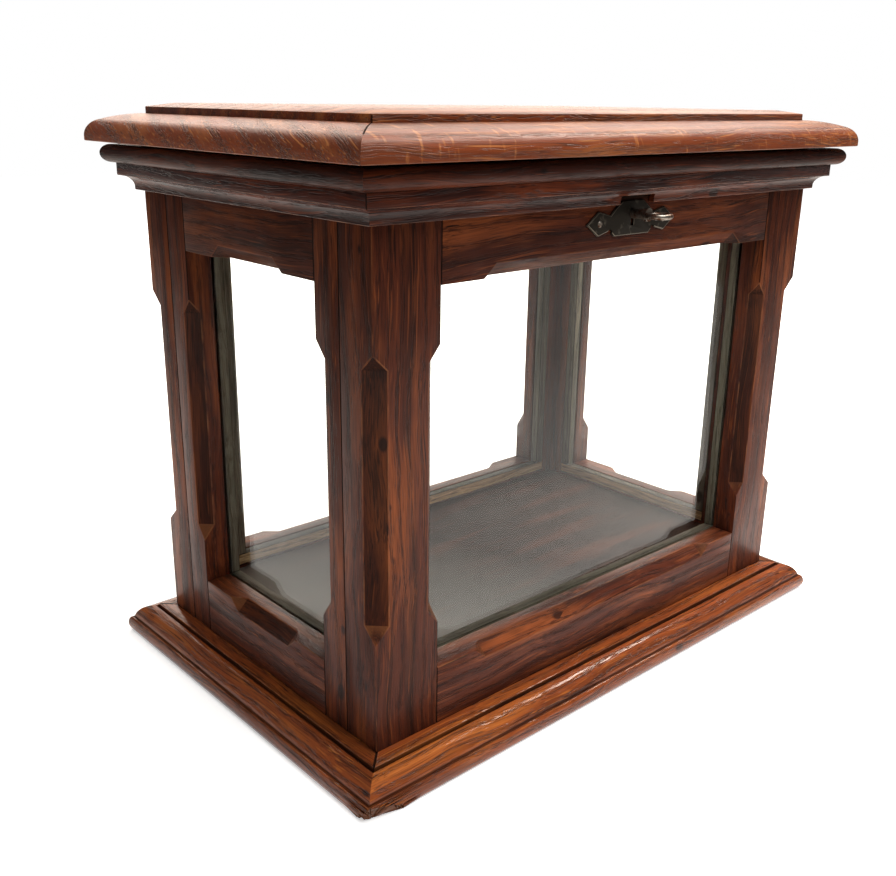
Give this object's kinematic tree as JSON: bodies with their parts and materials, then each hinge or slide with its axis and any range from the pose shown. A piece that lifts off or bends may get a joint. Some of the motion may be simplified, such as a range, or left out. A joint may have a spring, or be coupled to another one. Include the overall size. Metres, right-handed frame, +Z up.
{
  "type": "table-top display case",
  "caption": "Table-top oak display case: glazed stop-chamfered frames on a moulded base, a moulded lid hinged at the back, and a lock with its key in a shaped plate at the front.",
  "frame": {"origin": "on the floor, under the middle of the case", "axes": "+X to the right along the front, +Y from the front to the back, +Z up"},
  "size_m": [0.4536, 0.299, 0.376],
  "materials": {
    "oak_frame": "waxed, very dark",
    "oak_moulding": "waxed, very dark",
    "oak_base": "waxed",
    "oak_lid": "polished",
    "floor_oak": "bare, stained",
    "bead_oak": "bare",
    "window_glass": "clear, slightly wavy",
    "hinge_brass": "satin",
    "lock_iron": "dull",
    "escutcheon_brass": "dark patina, bright edges",
    "key_steel": "worn bright",
    "fixing_steel": "plain"
  },
  "bodies": {
    "carcase": {"back_bottom_rail": "oak_frame", "back_glass": "window_glass", "back_glazing_beads": "bead_oak", "back_stile_left": "oak_frame", "back_stile_right": "oak_frame", "back_top_rail": "oak_frame", "base_member_back": "oak_base", "base_member_front": "oak_base", "base_member_left": "oak_base", "base_member_right": "oak_base", "base_screws": "fixing_steel", "cornice_back": "oak_moulding", "cornice_front": "oak_moulding", "cornice_left": "oak_moulding", "cornice_right": "oak_moulding", "escutcheon": "escutcheon_brass", "escutcheon_nails": "fixing_steel", "floor_panel": "floor_oak", "front_bottom_rail": "oak_frame", "front_glass": "window_glass", "front_glazing_beads": "bead_oak", "front_stile_left": "oak_frame", "front_stile_right": "oak_frame", "front_top_rail": "oak_frame", "hinge_carcase_leaf_left": "hinge_brass", "hinge_carcase_leaf_right": "hinge_brass", "hinge_pins": "fixing_steel", "hinge_screws_carcase": "fixing_steel", "left_bottom_rail": "oak_frame", "left_glass": "window_glass", "left_glazing_beads": "bead_oak", "left_stile_back": "oak_frame", "left_stile_front": "oak_frame", "left_top_rail": "oak_frame", "lock_cap": "lock_iron", "lock_case": "lock_iron", "lock_screws": "fixing_steel", "right_bottom_rail": "oak_frame", "right_glass": "window_glass", "right_glazing_beads": "bead_oak", "right_stile_back": "oak_frame", "right_stile_front": "oak_frame", "right_top_rail": "oak_frame", "rim_back": "oak_moulding", "rim_front": "oak_moulding", "rim_left": "oak_moulding", "rim_right": "oak_moulding"},
    "lid": {"hinge_lid_leaf_left": "hinge_brass", "hinge_lid_leaf_right": "hinge_brass", "hinge_screws_lid": "fixing_steel", "lid_back": "oak_lid", "lid_front": "oak_lid", "lid_left": "oak_lid", "lid_panel": "oak_lid", "lid_right": "oak_lid", "link_plate": "lock_iron", "link_plate_screws": "fixing_steel"},
    "lock_bolt": {"lock_bolt": "lock_iron"},
    "key": {"key": "key_steel"}
  },
  "joints": [
    {"name": "lid_hinge", "type": "hinge", "parent": "carcase", "child": "lid", "pos_m": [0, 0.141, 0.3516], "axis": [-1, 0, 0], "range_deg": [0, 100]},
    {"name": "key_turn", "type": "hinge", "parent": "carcase", "child": "key", "pos_m": [0, -0.12, 0.316], "axis": [0, 1, 0], "range_deg": [0, 90]},
    {"name": "bolt_slide", "type": "slide", "parent": "carcase", "child": "lock_bolt", "axis": [1, 0, 0], "range_m": [0, 0.006]}
  ],
  "couplings": [
    {"joint": "key_turn", "follows": "bolt_slide", "rad_per_m": 261.8}
  ]
}
